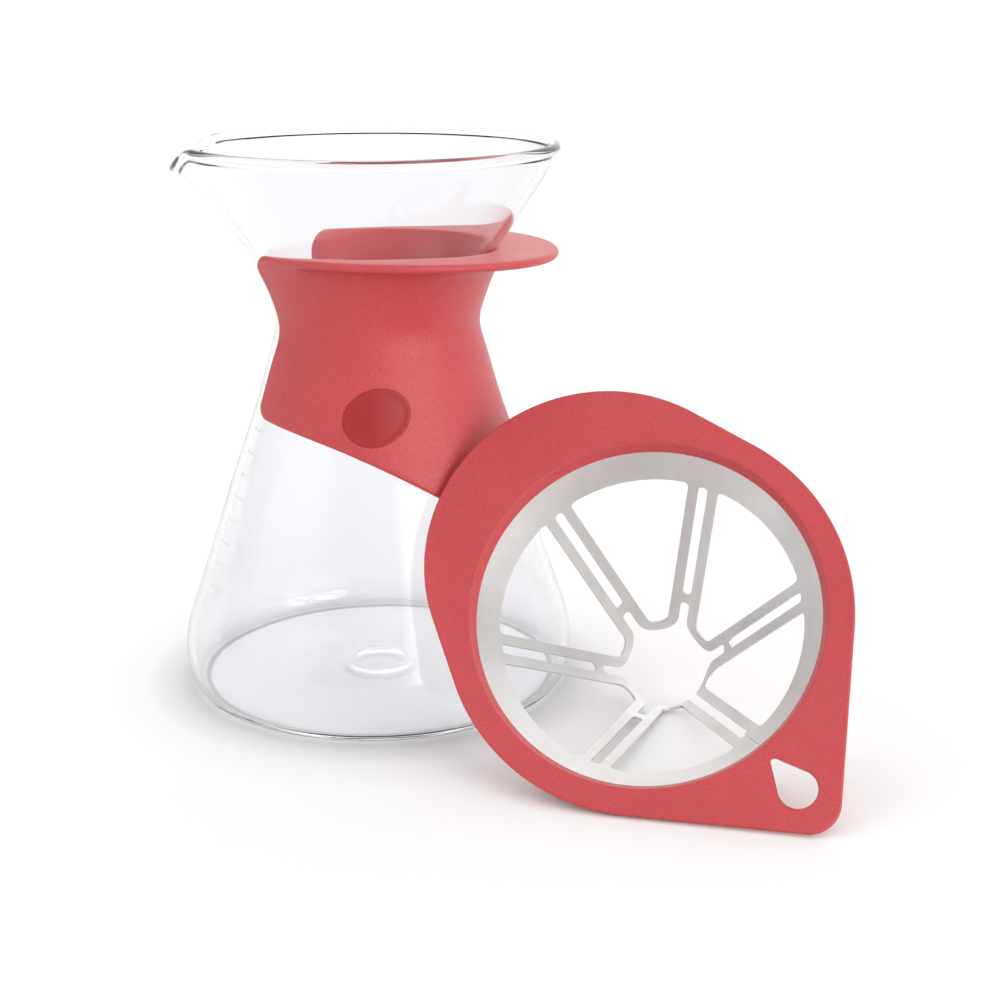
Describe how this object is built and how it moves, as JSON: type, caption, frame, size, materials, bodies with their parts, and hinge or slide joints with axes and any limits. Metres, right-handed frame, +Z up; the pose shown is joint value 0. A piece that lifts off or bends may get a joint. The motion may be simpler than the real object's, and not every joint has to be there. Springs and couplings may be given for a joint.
{
  "type": "pour over dripper",
  "caption": "Glass carafe with a heat guard collar round its waist, and the drop-shaped filter holder with a conical steel cage that leans against it.",
  "frame": {"origin": "on the table, under the middle of the carafe", "axes": "+Z up, -X towards the pouring spout, -Y towards the side where the dripper leans"},
  "size_m": [0.2166, 0.1982, 0.1855],
  "materials": {
    "glass": "clear, fire polished",
    "collar_plastic": "matte, finely textured",
    "badge_plastic": "smooth, satin",
    "holder_plastic": "matte, finely textured",
    "steel": "satin, rolled strip"
  },
  "bodies": {
    "carafe": {"carafe": "glass"},
    "collar": {"collar": "collar_plastic", "badge": "badge_plastic"},
    "dripper": {"holder_frame": "holder_plastic", "cage": "steel"}
  },
  "joints": [
    {"name": "collar_turn", "type": "hinge", "parent": "carafe", "child": "collar", "pos_m": [0, 0, 0.126], "axis": [0, 0, 1], "continuous": true},
    {"name": "holder_lift", "type": "slide", "parent": "carafe", "child": "dripper", "axis": [-0.1808, -0.787, 0.5899], "range_m": [0, 0.12]}
  ]
}
